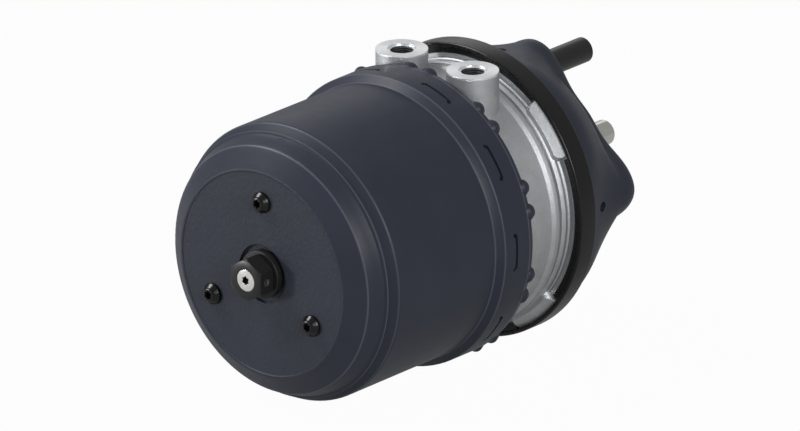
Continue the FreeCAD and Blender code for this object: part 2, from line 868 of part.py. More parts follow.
def bolt_washer():
    """The thrust washer between the bolt's head and the piston. It moves
    along with the bolt and doesn't turn with it."""
    body = new_body("bolt_washer")
    turned(
        body,
        "ring",
        ring_section(
            washer_depth, washer_depth + s.washer_thickness,
            bolt_radius + running, tube_inner - s.rest_gap,
        ),
    )


def parking_piston():
    """The cast piston: a dished web, a hub for the tube and a grooved rim."""
    body = new_body("parking_piston")
    hub, dish = s.piston_hub_dia / 2, s.piston_dish_dia / 2
    hole = bolt_radius + s.bolt_play
    wall = s.piston_wall
    corners = [
        (tube_rear, hole),
        (tube_rear, tube_outer + s.fit),
        (s.piston_web_depth, tube_outer + s.fit),
        (s.piston_web_depth, dish - wall, wall),
        (s.piston_rim_depth - wall, dish, wall),
        (s.piston_rim_depth, piston_rim_radius),
        (seal_start, piston_rim_radius),
        (seal_start, piston_rim_radius - s.seal_seat),
        (seal_start + s.seal_width, piston_rim_radius - s.seal_seat),
        (seal_start + s.seal_width, piston_rim_radius),
        (guide_start, piston_rim_radius),
        (guide_start, piston_rim_radius - s.guide_seat),
        (guide_start + s.guide_width, piston_rim_radius - s.guide_seat),
        (guide_start + s.guide_width, piston_rim_radius),
        (piston_rim_end, piston_rim_radius),
        (piston_rim_end, dish - wall / 2),
        (s.piston_rim_depth + wall, dish - wall, wall / 2),
        (piston_web_rear, dish - wall * 1.6, wall / 2),
        (piston_web_rear, hub + wall, wall / 2),
        (piston_hub_rear, hub),
        (piston_hub_rear, hole),
    ]
    turned(body, "casting", corners)


def piston_lip_seal():
    """The rubber lip seal in the piston's front groove."""
    body = new_body("piston_lip_seal")
    floor = piston_rim_radius - s.seal_seat + s.fit
    lip = drum_inner - s.fit
    end = seal_start + s.seal_width - s.fit
    start = seal_start + s.fit
    corners = [
        (start, floor),
        (start, lip),
        (start + s.seal_width * 0.3, lip),
        (end, piston_rim_radius),
        (end, floor),
    ]
    turned(body, "ring", corners)


def piston_guide_ring():
    """The plastic guide ring in the piston's rear groove."""
    body = new_body("piston_guide_ring")
    section = ring_section(
        guide_start + s.fit, guide_start + s.guide_width - s.fit,
        piston_rim_radius - s.guide_seat + s.fit, drum_inner - s.fit,
    )
    turned(body, "ring", section)


def piston_tube():
    """The tube that carries the spring's force through the cast body."""
    body = new_body("piston_tube")
    turned(body, "tube", ring_section(tube_front, tube_rear, tube_inner, tube_outer))


def tube_cap():
    """The cap that closes the tube and bears on the diaphragm."""
    body = new_body("tube_cap")
    spigot = tube_inner - s.fit
    corners = [
        (cap_depth, s.valve_dia / 2 + s.fit),
        (cap_depth, s.cap_dia / 2, s.cap_height * 0.4),
        (tube_front, s.cap_dia / 2),
        (tube_front, spigot),
        (tube_front + s.cap_spigot, spigot),
        (tube_front + s.cap_spigot, s.valve_dia / 2 + s.fit),
    ]
    turned(body, "turning", corners)


def breather_valve():
    """The small valve in the cap that vents the spring's side through the tube."""
    body = new_body("breather_valve")
    rear = tube_front + s.cap_spigot
    corners = [
        (cap_depth + s.rest_gap, ZERO),
        (cap_depth + s.rest_gap, s.valve_dia / 2),
        (rear, s.valve_dia / 2),
        (rear, s.valve_dia / 2 + s.valve_lip),
        (rear + s.valve_lip, s.valve_dia / 2 + s.valve_lip),
        (rear + s.valve_lip, ZERO),
    ]
    turned(body, "turning", corners)


def power_spring():
    """The parking spring, between the piston's web and the spring seat."""
    coil(
        "power_spring", s.power_wire, s.power_dia, s.power_turns,
        piston_web_rear + s.rest_gap, seat_depth - s.rest_gap,
    )


def return_spring():
    """The light spring that holds the push plate back on the diaphragm."""
    coil(
        "return_spring", s.return_wire, s.return_dia, s.return_turns,
        s.shell_wall + s.rest_gap, s.plate_depth - s.rest_gap,
    )


def coil(label, wire, diameter, turns, start, end):
    """A coil spring that fills the room between two depths."""
    body = new_body(label)
    sketch = new_sketch(body, "wire", "YZ_Plane")
    circle_at(sketch, -(start + wire / 2), diameter / 2, wire / 2)
    helix = body.newObject("PartDesign::AdditiveHelix", f"{label}_helix")
    helix.Profile = sketch
    helix.ReferenceAxis = (sketch, ["H_Axis"])
    helix.Mode = "pitch-turns-angle"
    helix.Reversed = True
    bind(helix, "Pitch", (end - start - wire) / turns)
    bind(helix, "Turns", turns)


def spring_seat():
    """The ring that centres the power spring in the closed end."""
    body = new_body("spring_seat")
    inner = s.plate_dia / 2 + s.rest_gap
    outer = (s.power_dia + s.power_wire) / 2
    foot = inner + s.power_wire / 2
    corners = [
        (seat_depth, inner),
        (seat_depth, outer, s.rim_round / 2),
        (seat_depth + s.spring_seat_height, outer, s.rim_round / 2),
        (seat_depth + s.spring_seat_height, foot),
        (end_inner_depth, foot),
        (end_inner_depth, inner),
    ]
    turned(body, "ring", corners)


def centre_body():
    """The cast aluminium body between the chambers: a web with a hub for the
    tube, a flange under the clamp ring, a skirt inside the drum, four lugs
    that key the clamp ring and two bosses for the air ports."""
    body = new_body("centre_body")
    rim, wall = cast_rim_radius, s.cast_wall_dia / 2
    cavity, hub = s.cavity_dia / 2, s.hub_dia / 2
    bore = tube_outer + s.guide_bush_wall + s.fit
    rim_end = cast_flange_end + s.cast_rim_length
    waist = rim - s.cast_groove
    bead_start = rim_end + s.cast_groove * 2
    bead_top = waist + s.cast_bead_height
    bead_end = bead_start + s.cast_bead_edge + s.cast_bead_width
    edge, small = s.rim_round, s.rim_round / 2
    skirt_inner = skirt_radius - s.skirt_wall
    flare = s.rim_depth - s.drum_wall
    corners = [
        (cast_start, cavity, edge),
        (cast_start, flange_radius),
        (cast_flange_end, flange_radius),
        (cast_flange_end, rim),
        (cast_flange_end + s.cast_rim_length / 2, rim, small),
        (cast_flange_end + s.cast_rim_length / 2 + s.cast_rim_step, rim - s.cast_rim_step, small),
        (rim_end, rim - s.cast_rim_step, small),
        (rim_end + s.cast_groove, waist),
        (bead_start, waist, edge),
        (bead_start + s.cast_bead_edge, bead_top, small),
        (bead_end, bead_top - small, edge),
        (bead_end + s.cast_bead_edge * 2, wall + small, edge * 1.5),
        (flare, wall - s.cast_bead_height, edge * 1.5),
        (s.rim_depth, skirt_radius),
        (skirt_end, skirt_radius),
        (skirt_end, skirt_inner),
        (s.rim_depth + s.skirt_wall, skirt_inner, s.drum_wall),
        (s.rim_depth, cavity, s.drum_wall),
        (web_rear_depth, cavity, s.drum_wall),
        (web_rear_depth, hub + s.drum_wall, s.drum_wall),
        (hub_rear_depth, hub),
        (hub_rear_depth, bore),
        (s.web_front_depth, bore),
        (s.web_front_depth, cavity, s.drum_wall),
    ]
    turned(body, "casting", corners)
    lug_end = cast_flange_end + s.lug_length
    half = ring_mouth * s.lug_span * (math.pi / 360)

    def tab(sketch):
        outline(sketch, [
            (-half, -cast_flange_end),
            (-half, -lug_end, s.lug_round),
            (half, -lug_end, s.lug_round),
            (half, -cast_flange_end),
        ])

    root = (cavity + waist) / 2
    height = ring_outer + s.ring_wall
    lug = from_top(body, "lug", height, height - root, tab, turn=s.lug_angle)
    repeated(body, "lugs", [lug], 4)
    crown = [
        (cast_flange_end - PAST, lug_radius),
        (cast_flange_end + s.lug_flat, lug_radius, edge),
        (lug_end, rim + s.lug_rise, edge),
        (lug_end + PAST, rim + s.lug_rise),
        (lug_end + PAST, height * CLEAR),
        (cast_flange_end - PAST, height * CLEAR),
    ]
    turned(body, "lug_crowns", crown, cut=True)
    port_floor = s.port_top - s.port_bore_length
    for number, side in enumerate((-1, 1)):
        across = s.port_offset * side
        from_top(
            body, f"boss{number}", s.port_top, s.port_top - s.boss_foot,
            disc(across, -s.port_depth, s.port_boss_dia / 2),
        )
    half = s.lock_width / 2 + s.fit
    groove = ring_section(
        s.slot_depth - half, s.slot_depth + half, lock_inner - s.fit, skirt_radius + PAST
    )
    turned(body, "lock_groove", groove, cut=True)
    wire = s.seal_wire_dia
    seal = ring_section(
        s.seal_depth - wire / 2 - s.seal_play, s.seal_depth + wire / 2 + s.seal_play,
        skirt_radius - wire - s.fit, skirt_radius + PAST,
    )
    turned(body, "seal_groove", seal, cut=True)
    for number, depth in enumerate(rod_seal_depths()):
        half = s.rod_seal_wire / 2 + s.seal_play
        rod_seal = ring_section(
            depth - half, depth + half, bore - PAST, tube_outer + s.rod_seal_wire + s.fit * 2
        )
        turned(body, f"rod_seal_groove{number}", rod_seal, cut=True)
    for number, side in enumerate((-1, 1)):
        across = s.port_offset * side
        from_top(
            body, f"port{number}", s.port_top + PAST, s.port_bore_length + PAST,
            disc(across, -s.port_depth, s.port_thread_dia / 2), cut=True,
        )
        from_top(
            body, f"port_mouth{number}", s.port_top + PAST, s.port_mouth_depth + PAST,
            disc(across, -s.port_depth, s.port_mouth_dia / 2), cut=True,
        )
        from_top(
            body, f"air_way{number}", port_floor + PAST, s.air_way_drop + PAST,
            disc(across, -s.port_depth, s.air_way_dia / 2), cut=True,
        )
        reach = s.port_boss_dia / 2 + PAST
        along_axis(
            body, f"cross_way{number}", s.port_depth if side < 0 else s.port_depth - reach, reach,
            disc(across, port_floor - s.air_way_drop + s.air_way_dia, s.cross_way_dia / 2),
            cut=True,
        )


def rod_seal_depths():
    """Depths of the two seals at the ends of the guide bush."""
    inset = s.rod_seal_wire / 2 + s.rod_seal_edge
    return s.web_front_depth + inset, hub_rear_depth - inset


def tube_seals():
    """The two O-rings in the hub, one each side of the guide bush."""
    body = new_body("tube_seals")
    sketch = new_sketch(body, "sections", "YZ_Plane")
    radius = s.rod_seal_wire / 2
    for depth in rod_seal_depths():
        circle_at(sketch, -depth, tube_outer + s.fit + radius, radius)
    rings = body.newObject("PartDesign::Revolution", "tube_seals_rings")
    rings.Profile = sketch
    rings.ReferenceAxis = (sketch, ["H_Axis"])


def tube_guide_bush():
    """The dry bush in the hub that the tube slides in."""
    body = new_body("tube_guide_bush")
    front, rear = rod_seal_depths()
    inset = s.rod_seal_wire / 2 + s.rod_seal_edge
    section = ring_section(
        front + inset, rear - inset, tube_outer + running, tube_outer + s.guide_bush_wall
    )
    turned(body, "bush", section)


def housing_seal():
    """The O-ring between the drum's band and the cast body's skirt."""
    body = new_body("housing_seal")
    sketch = new_sketch(body, "section", "YZ_Plane")
    radius = s.seal_wire_dia / 2
    circle_at(sketch, -s.seal_depth, skirt_radius - radius, radius)
    ring = body.newObject("PartDesign::Revolution", "housing_seal_ring")
    ring.Profile = sketch
    ring.ReferenceAxis = (sketch, ["H_Axis"])


def lock_ring():
    """The split ring that locks the drum to the cast body. It shows black
    in the drum's slots."""
    body = new_body("lock_ring")
    half = s.lock_width / 2
    section = ring_section(s.slot_depth - half, s.slot_depth + half, lock_inner, lock_outer)
    turned(body, "ring", section)
    half = half + PAST
    gap = ring_section(
        s.slot_depth - half, s.slot_depth + half, lock_inner - PAST, lock_outer + PAST
    )
    turned(body, "gap", gap, cut=True, span=s.lock_gap, turn=180.0)


def clamp_ring():
    """The black ring whose channel grips the shell's flange, the diaphragm's
    bead and the cast flange. Its front wall is notched for the four lugs."""
    body = new_body("clamp_ring")
    mouth, back = ring_mouth, ring_back_mouth
    corners = [
        (s.ring_depth, back),
        (s.ring_depth, ring_outer, s.rim_round),
        (ring_front, ring_outer, s.rim_round),
        (ring_front, channel, s.rim_round / 2),
        (ring_lip_end, channel),
        (ring_lip_end, mouth),
        (cast_flange_end, mouth),
        (cast_flange_end, channel),
        (shell_flange_depth, channel),
        (shell_flange_depth, back),
    ]
    turned(body, "section", corners)
    notch = ring_section(cast_flange_end - s.fit, ring_lip_end + PAST, mouth - PAST, channel)
    notches = turned(
        body, "notch", notch, cut=True, span=s.lug_span + s.notch_play, turn=s.lug_angle
    )
    repeated(body, "notches", [notches], 4)


def diaphragm():
    """The rubber diaphragm, rolled part way, with its bead in the clamp."""
    body = new_body("diaphragm")
    thick = s.diaphragm_thickness
    plate, bead = s.push_plate_dia / 2, shell_rear_radius - s.shell_wall
    fold = bead - thick * 2
    corners = [
        (disc_depth, ZERO),
        (disc_depth, plate + thick, thick),
        (bead_depth - thick, fold, thick),
        (bead_depth, bead),
        (bead_depth, flange_radius),
        (cast_start, flange_radius),
        (cast_start, fold + thick / 1.5),
        (bead_depth, fold - thick / 2, thick),
        (cap_depth, plate, thick),
        (cap_depth, ZERO),
    ]
    turned(body, "membrane", corners)


def push_plate():
    """The plate that the diaphragm pushes, with a socket for the rod."""
    body = new_body("push_plate")
    plate, boss, rod = s.push_plate_dia / 2, s.rod_boss_dia / 2, s.rod_dia / 2 + s.fit
    corners = [
        (disc_depth, ZERO),
        (disc_depth, plate, s.rim_round),
        (s.plate_depth, plate, s.rim_round),
        (s.plate_depth, boss + s.rim_round),
        (s.plate_depth - s.rod_boss_height, boss, s.rim_round),
        (s.plate_depth - s.rod_boss_height, rod),
        (s.plate_depth + s.rod_seat, rod),
        (s.plate_depth + s.rod_seat, ZERO),
    ]
    turned(body, "forging", corners)


def push_rod():
    """The zinc-plated push rod, a plain bar with a rounded tip."""
    body = new_body("push_rod")
    radius = s.rod_dia / 2
    corners = [
        (-s.rod_reach, ZERO),
        (-s.rod_reach, radius, s.rod_tip_round),
        (s.plate_depth + s.rod_seat, radius),
        (s.plate_depth + s.rod_seat, ZERO),
    ]
    turned(body, "bar", corners)


def mounting_studs():
    """The two studs that fasten the unit to the caliper: heads inside the
    shell, and a shoulder pressed into its sheet."""
    body = new_body("mounting_studs")
    head = s.stud_head_dia / 2
    head_end = s.shell_wall + s.stud_head_height
    corners = [
        (-s.stud_reach, ZERO),
        (-s.stud_reach, stud_radius - s.stud_tip_chamfer),
        (-s.stud_reach + s.stud_tip_chamfer, stud_radius),
        (ZERO, stud_radius),
        (ZERO, shoulder_radius),
        (s.shell_wall, shoulder_radius),
        (s.shell_wall, head),
        (head_end, head, s.rim_round),
        (head_end, ZERO),
    ]
    stud = turned(body, "stud", corners, out=stud_out)
    repeated(body, "pair", [stud], 2)


def rod_boot():
    """The bellows that keeps dirt out round the push rod: one fold between
    the rim in its retainer and the sleeve on the rod."""
    body = new_body("rod_boot")
    wall = s.boot_wall
    rim = s.rod_hole_dia / 2 - s.fit * 2 - s.retainer_wall
    sleeve = s.rod_dia / 2 + s.fit
    fold = (rim + sleeve) / 2
    near, far = s.boot_inset, s.boot_inset + s.boot_length
    corners = [
        (near, rim),
        (near, rim - wall, wall / 3),
        (far - wall, rim - wall * 1.5, wall / 3),
        (near + wall, fold, wall / 3),
        (far - wall, sleeve + wall * 0.8, wall / 4),
        (far - wall, sleeve),
        (far + wall, sleeve),
        (far + wall, sleeve + wall, wall / 2),
        (near + wall * 3.5, fold, wall / 2),
        (far + wall, rim - wall, wall / 2),
        (near + wall * 3, rim),
    ]
    turned(body, "bellows", corners)


def boot_retainer():
    """The pressed ring that holds the boot's rim in the shell's collar."""
    body = new_body("boot_retainer")
    outer = s.rod_hole_dia / 2 - s.fit
    inner = outer - s.retainer_wall
    section = ring_section(s.boot_inset, s.shell_wall + s.collar_height, inner, outer)
    turned(body, "ring", section)


MAKERS = [
    spring_housing, end_screws, end_plate, threaded_bush, bolt_collar, spring_seat,
    power_spring, release_bolt, release_hex, release_hex_pin, bolt_washer,
    parking_piston, piston_lip_seal, piston_guide_ring, piston_tube, tube_cap,
    breather_valve, centre_body, tube_seals, tube_guide_bush, housing_seal,
    lock_ring, clamp_ring, service_housing, mounting_studs, diaphragm, push_plate,
    push_rod, return_spring, rod_boot, boot_retainer,
]
for maker in MAKERS:
    maker()
doc.recompute()

for thing in doc.Objects:
    if "Invalid" in thing.State or "Error" in thing.State:
        raise RuntimeError(f"{thing.Label} failed: {thing.State}")

nodes = [t for t in doc.Objects if t.TypeId == "PartDesign::Body" or t.TypeId == "Part::Feature"]
for node in nodes:
    if node.Shape.isNull() or not node.Shape.isValid() or not node.Shape.Solids:
        raise RuntimeError(f"{node.Label} has no sound solid")

os.makedirs("parts", exist_ok=True)
for node in nodes:
    node.Shape.exportStep(f"parts/{node.Label}.step")
    box = node.Shape.BoundBox
    print(
        f"{node.Label}: {len(node.Shape.Solids)} solids, {node.Shape.Volume / 1000:.1f} cm3, "
        f"Y {box.YMin:.1f} to {box.YMax:.1f}"
    )
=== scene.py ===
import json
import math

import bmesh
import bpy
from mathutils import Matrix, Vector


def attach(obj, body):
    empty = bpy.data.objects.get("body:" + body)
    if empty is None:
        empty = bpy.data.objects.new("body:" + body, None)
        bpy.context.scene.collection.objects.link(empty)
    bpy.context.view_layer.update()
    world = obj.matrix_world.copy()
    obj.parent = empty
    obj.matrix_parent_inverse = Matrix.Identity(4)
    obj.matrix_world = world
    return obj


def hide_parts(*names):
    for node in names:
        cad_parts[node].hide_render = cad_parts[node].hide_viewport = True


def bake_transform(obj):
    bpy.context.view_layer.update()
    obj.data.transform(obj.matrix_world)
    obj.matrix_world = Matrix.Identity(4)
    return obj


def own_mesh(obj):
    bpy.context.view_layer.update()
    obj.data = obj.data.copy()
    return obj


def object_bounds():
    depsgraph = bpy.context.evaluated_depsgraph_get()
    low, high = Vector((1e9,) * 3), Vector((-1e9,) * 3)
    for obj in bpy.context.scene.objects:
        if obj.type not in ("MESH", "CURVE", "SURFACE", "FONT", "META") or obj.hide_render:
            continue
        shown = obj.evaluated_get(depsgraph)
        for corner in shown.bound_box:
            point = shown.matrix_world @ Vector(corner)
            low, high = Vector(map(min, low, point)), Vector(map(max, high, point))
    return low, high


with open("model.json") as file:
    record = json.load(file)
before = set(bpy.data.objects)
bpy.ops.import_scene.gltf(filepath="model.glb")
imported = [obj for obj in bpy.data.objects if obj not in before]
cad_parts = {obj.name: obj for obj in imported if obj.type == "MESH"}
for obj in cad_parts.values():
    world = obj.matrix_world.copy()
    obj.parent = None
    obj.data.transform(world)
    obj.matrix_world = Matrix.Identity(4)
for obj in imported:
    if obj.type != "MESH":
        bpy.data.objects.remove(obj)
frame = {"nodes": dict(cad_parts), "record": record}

# %% [markdown]
# # A brake chamber, finished in Blender
#
# A brake chamber for a disc brake is a steel drum, a cast aluminium body and a lobed steel shell on
# one axis. The drum hides a strong spring, the shell a rubber diaphragm, and the rod between two
# studs pushes the brake. The solids come from the CAD model, so their sizes are settled. What this
# lesson adds is what a photograph shows beyond shape: paint, casting grain, milled faces, threads,
# folded rubber and light.

cad_low, cad_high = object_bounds()
print("solids reach from", tuple(cad_low), "to", tuple(cad_high))

# %% [markdown]
# The mounting face lies at zero and the axis runs along y. So a depth counts back from that face,
# towards the closed end of the drum, and a point's y is its depth with a minus. Blender works in
# metres, but a maker thinks in millimetres, so each length is written as a number times MM. The
# measures below repeat the CAD sheet, so that every added piece sits on its solid.

# %% Measures
MM = 0.001
AXIS = Vector((0, 1, 0))
PORT_OFFSET = 28.5 * MM
PORT_DEPTH = 98.2 * MM
PORT_TOP = 92.6 * MM
PORT_BORE = 7.25 * MM
PORT_FLOOR = PORT_TOP - 18 * MM
END_DEPTH = 258 * MM
NODES = frame["nodes"]

# %% [markdown]
# ## Smooth solids
#
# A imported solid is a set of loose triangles, and each would shade flat. Changing its mesh is not
# allowed, but modifiers are: Weld joins the corners that meet, and Edge Split keeps the edges that
# are really sharp. Between them the drum shades round and its rim stays crisp.

# %% Weld and split every solid
SHARP_ANGLE = math.radians(28)
SAME_POINT = 0.002 * MM


def shade_smooth(data):
    """Lets every face of a mesh shade round."""
    data.polygons.foreach_set("use_smooth", [True] * len(data.polygons))


def smooth_solid(solid):
    """Joins a solid's triangles for shading and keeps its sharp edges."""
    shade_smooth(solid.data)
    solid.modifiers.new("weld", "WELD").merge_threshold = SAME_POINT
    solid.modifiers.new("crisp_edges", "EDGE_SPLIT").split_angle = SHARP_ANGLE


for solid in NODES.values():
    smooth_solid(solid)
print("smoothed", len(NODES), "solids")

# %% [markdown]
# ## Finishes
#
# Node trees are easier to read as sums. A small class wraps a node's output, and its operators add
# Math nodes: grain * 0.3 + 0.5 makes two. The reflected forms let a number stand first, so 1 - mask
# works too. Three named methods stand for nodes that Python has no sign for.

# %% The socket class


class Wire:
    """An output socket whose operators add Math nodes to the tree that it belongs to."""

    def __init__(self, tree, socket):
        self.tree = tree
        self.socket = socket

    def math(self, operation, *values):
        """One Math node on the given values."""
        return self.tree.node("ShaderNodeMath", {"operation": operation}, dict(enumerate(values)))

    def __add__(self, other):
        return self.math("ADD", self, other)

    def __sub__(self, other):
        return self.math("SUBTRACT", self, other)

    def __rsub__(self, other):
        return self.math("SUBTRACT", other, self)

    def __mul__(self, other):
        return self.math("MULTIPLY", self, other)

    def __truediv__(self, other):
        return self.math("DIVIDE", self, other)

    def __pow__(self, other):
        return self.math("POWER", self, other)

    def __gt__(self, other):
        return self.math("GREATER_THAN", self, other)

    def __lt__(self, other):
        return self.math("LESS_THAN", self, other)

    __radd__ = __add__
    __rmul__ = __mul__

    def unsigned(self):
        """The value without its sign."""
        return self.math("ABSOLUTE", self)

    def at_least(self, low):
        """The value, or low where that is more."""
        return self.math("MAXIMUM", self, low)

    def wave(self, pitch):
        """A sine from -1 to 1 that repeats every pitch along this length."""
        return self.math("SINE", self * (2 * math.pi / pitch))


# %% [markdown]
# Every other node comes from one method. It takes the node's type, its own settings, which are set
# first, and the values or wires of its sockets. The world uses this tree class as it is. A finish
# is a tree that starts with Blender's main shader. It knows how to read a point on the piece, to
# make noise, to mix two colours and to raise a relief. All noise reads Object coordinates, which
# here are plain metres, because each piece's object sits at the origin.

# %% The tree class


class Tree:
    """The node tree of a material or a world while it is made."""

    def __init__(self, owner):
        owner.use_nodes = True
        self.nodes, self.links = owner.node_tree.nodes, owner.node_tree.links

    def feed(self, socket, value):
        """Links a wire to a socket, or writes a plain value there."""
        if isinstance(value, Wire):
            self.links.new(value.socket, socket)
        else:
            socket.default_value = value

    def node(self, kind, settings=None, inputs=None, out=0):
        """Adds a node and returns one of its outputs."""
        made = self.nodes.new(kind)
        for key, value in (settings or {}).items():
            setattr(made, key, value)
        for key, value in (inputs or {}).items():
            self.feed(made.inputs[key], value)
        return Wire(self, made.outputs[out])

    def rays(self):
        """Three wires that are 1 for the camera's, mirrored and transmitted rays."""
        kinds = ("Is Camera Ray", "Is Glossy Ray", "Is Transmission Ray")
        return [self.node("ShaderNodeLightPath", out=kind) for kind in kinds]


# %% The finish class


class Finish(Tree):
    """One material while it is made. The class keeps each under its name, which is its slot's."""

    made = {}

    def __init__(self, name, colour, roughness, metallic=0.0):
        self.material = Finish.made[name] = bpy.data.materials.new(name)
        super().__init__(self.material)
        self.shader = self.nodes["Principled BSDF"]
        self.material.diffuse_color = (*colour, 1)
        self.set("Base Color", (*colour, 1))
        self.set("Roughness", roughness)
        self.set("Metallic", metallic)

    def set(self, name, value):
        """Gives an input of the main shader a wire or a plain value."""
        self.feed(self.shader.inputs[name], value)

    def place(self):
        """The point on the surface in the object's own metres."""
        return self.node("ShaderNodeTexCoord", out="Object")

    def axis_parts(self):
        """The point's three coordinates, one wire each."""
        point = self.place()
        return [self.node("ShaderNodeSeparateXYZ", {}, {0: point}, out=k) for k in range(3)]

    def noise(self, size, detail=2.0, roughness=0.5, stretch=None):
        """Noise whose blobs are about as large as size, in metres, from 0 to 1."""
        point = self.place()
        if stretch is not None:
            point = self.node("ShaderNodeMapping", {}, {"Vector": point, "Scale": stretch})
        return self.node(
            "ShaderNodeTexNoise",
            {"noise_dimensions": "3D"},
            {"Vector": point, "Scale": 1 / size, "Detail": detail, "Roughness": roughness},
            out="Fac",
        )

    def mix(self, factor, first, second):
        """A colour between two others, each a wire or three plain values."""
        first, second = (
            colour if isinstance(colour, Wire) else (*colour, 1) for colour in (first, second)
        )
        return self.node(
            "ShaderNodeMix", {"data_type": "RGBA"}, {0: factor, 6: first, 7: second}, out=2
        )

    def relief(self, height, depth, strength=1.0, edge=None):
        """Bumps the surface by a height from 0 to 1, depth in metres, over softened edges."""
        inputs = {"Height": height, "Distance": depth, "Strength": strength}
        if edge is not None:
            inputs["Normal"] = self.node("ShaderNodeBevel", {"samples": 4}, {"Radius": edge})
        self.set("Normal", self.node("ShaderNodeBump", {}, inputs, out="Normal"))


def tinted(colour, share):
    """A colour made darker or lighter."""
    return [part * share for part in colour]


# %% [markdown]
# ### Drum paint
#
# The drum, its closed end and the front shell share one coat: a dark blue-grey, nearly matt dip
# coat. It lies in a fine orange peel, and its gloss drifts a little. On the upright end face it ran
# before it dried, so there a wider noise, drawn out downwards, joins the peel. Along every turned
# edge a thin pale line of painted highlight stands for the light that the edge catches. A mask
# finds those lines exactly, by how far a point lies from the edge's depth and radius.

# %% Drum paint
PAINT_LIGHT = (0.033, 0.038, 0.054)
PAINT_DARK = (0.026, 0.030, 0.043)
# the colour of the painted highlight along the drum's turned edges
PAINTED_EDGE_HIGHLIGHT = (0.13, 0.145, 0.185)
PEEL_SIZE, RUN_SIZE = 0.9 * MM, 1.6 * MM
RUN_STRETCH, RUN_SHARE = (1, 1, 0.5), 4.5
PAINTED_HIGHLIGHT_WIDTH, PAINTED_HIGHLIGHT_SHARE = 0.9 * MM, 0.55
# the depth and the radius, in millimetres, of each turned edge that gets a painted highlight line
DRUM_HIGHLIGHT_EDGES = {
    "band front": (118.5, 92.2), "band step": (141.0, 92.3), "step foot": (145.0, 87.5),
    "shoulder": (232.6, 87.2), "groove ridge": (238.6, 83.8), "knee": (250.0, 77.8),
}


def edge_highlight_mask(finish, edges, width):
    """1 on the given turned edges and 0 a width away from them."""
    across, along, up = finish.axis_parts()
    radius = (across * across + up * up) ** 0.5
    mask = 0
    for depth, reach in edges:
        off, out = along + depth * MM, radius - reach * MM
        near = 1 - (off * off + out * out) ** 0.5 / width
        mask = near.at_least(0) + mask
    return mask


def drum_paint():
    """Dip coat with its peel, its runs on the end face and painted highlights along its edges."""
    finish = Finish("drum_paint", PAINT_LIGHT, 0.38)
    peel = finish.noise(PEEL_SIZE, detail=3.0, roughness=0.55)
    end_face = finish.axis_parts()[1] < -(END_DEPTH - 1.5 * MM)
    runs = finish.noise(RUN_SIZE, stretch=RUN_STRETCH) * end_face
    coat = finish.mix(finish.noise(24 * MM, detail=3.0), PAINT_DARK, PAINT_LIGHT)
    # a thin pale line of painted highlight along each turned edge
    painted_highlight = edge_highlight_mask(finish, DRUM_HIGHLIGHT_EDGES.values(), PAINTED_HIGHLIGHT_WIDTH)
    finish.set("Base Color", finish.mix(painted_highlight * PAINTED_HIGHLIGHT_SHARE, coat, PAINTED_EDGE_HIGHLIGHT))
    finish.set("Roughness", finish.noise(6 * MM) * 0.1 + 0.36)
    finish.set("Specular IOR Level", 0.2)
    finish.relief(peel + runs * RUN_SHARE, 0.06 * MM, strength=0.6, edge=0.35 * MM)


drum_paint()
print("drum paint with", len(DRUM_HIGHLIGHT_EDGES), "thin edges")

# %% [markdown]
# ### Black coats
#
# The clamp ring is a smooth rolled strip with a black coat that still mirrors the room. The studs,
# the hexagon, the screws, the collar and the springs have thinner black coats, each with its own
# gloss. They differ only in a few numbers, so one function makes them all. The ring's coat softens
# no edges, because the ring's own are rounded in its solid.

# %% Black coats


def black_coat(name, level, roughness, grain, edge=None, gloss=0.3):
    """A dark coat over steel: almost black, its gloss broken by a fine grain."""
    colour = (level, level * 0.99, level * 0.97)
    finish = Finish(name, colour, roughness)
    speck = finish.noise(grain)
    finish.set("Base Color", finish.mix(speck, tinted(colour, 0.8), tinted(colour, 1.25)))
    finish.set("Roughness", speck * 0.1 + (roughness - 0.05))
    finish.set("Specular IOR Level", gloss)
    finish.relief(speck, 0.012 * MM, strength=0.3, edge=edge)


black_coat("ring_black", 0.008, 0.28, 3 * MM)
black_coat("stud_black", 0.009, 0.32, 0.8 * MM, edge=0.3 * MM, gloss=0.5)
black_coat("hex_black", 0.014, 0.34, 0.7 * MM, edge=0.3 * MM)
black_coat("black_screws", 0.005, 0.22, 0.6 * MM, edge=0.25 * MM)
black_coat("black_steel", 0.012, 0.45, 0.8 * MM, edge=0.3 * MM)
black_coat("spring_wire", 0.045, 0.4, 0.9 * MM, edge=0.3 * MM)
print("finishes so far:", len(Finish.made))

# %% [markdown]
# ### Cast aluminium
#
# The body is die cast and left raw. Its skin is a fine bright grain with soft cloudy patches. The
# two port faces are milled after casting, so above their level the same material turns smoother,
# brighter and lined in rings round each port. The bores below them are painted dark, as painted
# shade for the deep threads that see little light. Three materials would need three sets of faces.
# Masks on height and on the distance from the port's axis do it in one.

# %% Cast aluminium
CAST_LIGHT = (0.7, 0.715, 0.73)
CAST_DARK = (0.26, 0.27, 0.285)
MILLED = (0.86, 0.87, 0.88)
# the painted shade inside the port bores and on their threads
BORE_PAINTED_SHADE = (0.09, 0.092, 0.095)
CUTTER_PITCH = 0.35 * MM


